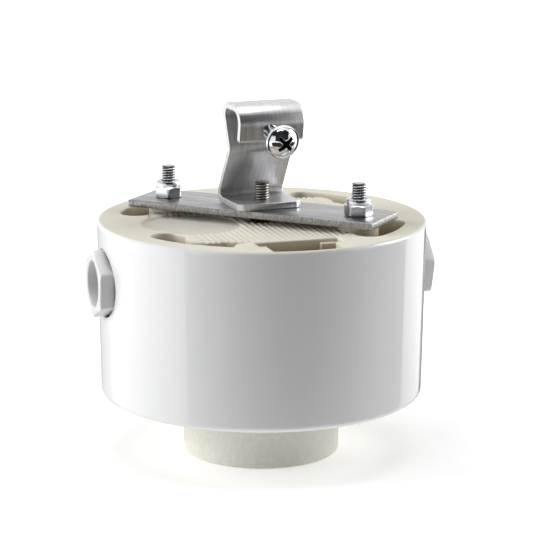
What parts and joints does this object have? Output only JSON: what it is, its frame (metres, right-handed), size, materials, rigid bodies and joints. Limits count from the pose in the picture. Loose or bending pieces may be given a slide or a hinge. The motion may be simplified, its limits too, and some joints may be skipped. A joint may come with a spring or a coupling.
{
  "type": "hanging lamp holder",
  "caption": "Round glazed porcelain lamp holder with a screw socket below, a cable gland on each side and a steel wire hook bolted to its back.",
  "frame": {"origin": "centre of the lamp mouth, on the flat end of the socket neck", "axes": "+Z from the lamp mouth up to the wire hook, +X along the axis of the two cable glands, towards the right one"},
  "size_m": [0.0954, 0.09, 0.0971],
  "materials": {
    "glazed_porcelain": "white glossy glaze on the side wall and rim, bare cream porcelain on the back",
    "raw_steatite": "unglazed, fine grained, cream white",
    "sheared_steel": "bright rolled strip with coarse sheared edges",
    "zinc_screws": "bright zinc plate",
    "stainless_screw": "plain stainless steel",
    "bright_screw": "nickel-bright pan head",
    "spring_steel": "drawn wire and stamped clip",
    "brass": "pressed and turned brass",
    "gland_plastic": "light grey moulded plastic, satin",
    "ring_nylon": "natural nylon",
    "black_rubber": "soft moulded rubber"
  },
  "bodies": {
    "holder": {"base_body": "glazed_porcelain", "socket_insert": "raw_steatite", "flange_gasket": "black_rubber", "threaded_shell": "brass", "shell_screws": "brass", "shell_nut": "brass", "contact_spring": "spring_steel", "live_terminal": "brass", "live_screw": "brass", "live_clamp_screws": "zinc_screws", "neutral_terminal": "brass", "neutral_clamp_screws": "zinc_screws", "strap_bar": "sheared_steel", "left_long_bolt": "zinc_screws", "right_long_bolt": "zinc_screws", "bolt_washers": "zinc_screws", "left_lock_nut": "zinc_screws", "right_lock_nut": "zinc_screws", "left_nut_ring": "ring_nylon", "right_nut_ring": "ring_nylon", "left_gland_seal": "black_rubber", "right_gland_seal": "black_rubber"},
    "hook": {"hook_bracket": "sheared_steel", "centre_screw": "stainless_screw"},
    "clamp": {"clamp_screw": "bright_screw"},
    "plunger": {"centre_contact": "brass", "contact_clip": "spring_steel"},
    "left_gland": {"left_gland": "gland_plastic", "left_cable_seal": "black_rubber"},
    "right_gland": {"right_gland": "gland_plastic", "right_cable_seal": "black_rubber"}
  },
  "joints": [
    {"name": "hook_swivel", "type": "hinge", "parent": "holder", "child": "hook", "pos_m": [0, 0, 0.0685], "axis": [0, 0, 1], "continuous": true},
    {"name": "clamp_screw_travel", "type": "slide", "parent": "hook", "child": "clamp", "axis": [-0.0826, 0.9842, 0.1564], "range_m": [-0.002, 0.005]},
    {"name": "contact_press", "type": "slide", "parent": "holder", "child": "plunger", "axis": [0, 0, 1], "range_m": [0, 0.0018], "stiffness_N_per_m": 2500, "springref_m": -0.001, "deforming": ["contact_spring"]},
    {"name": "left_gland_travel", "type": "slide", "parent": "holder", "child": "left_gland", "axis": [-1, 0, 0], "range_m": [0, 0.003]},
    {"name": "right_gland_travel", "type": "slide", "parent": "holder", "child": "right_gland", "axis": [1, 0, 0], "range_m": [0, 0.003]}
  ]
}
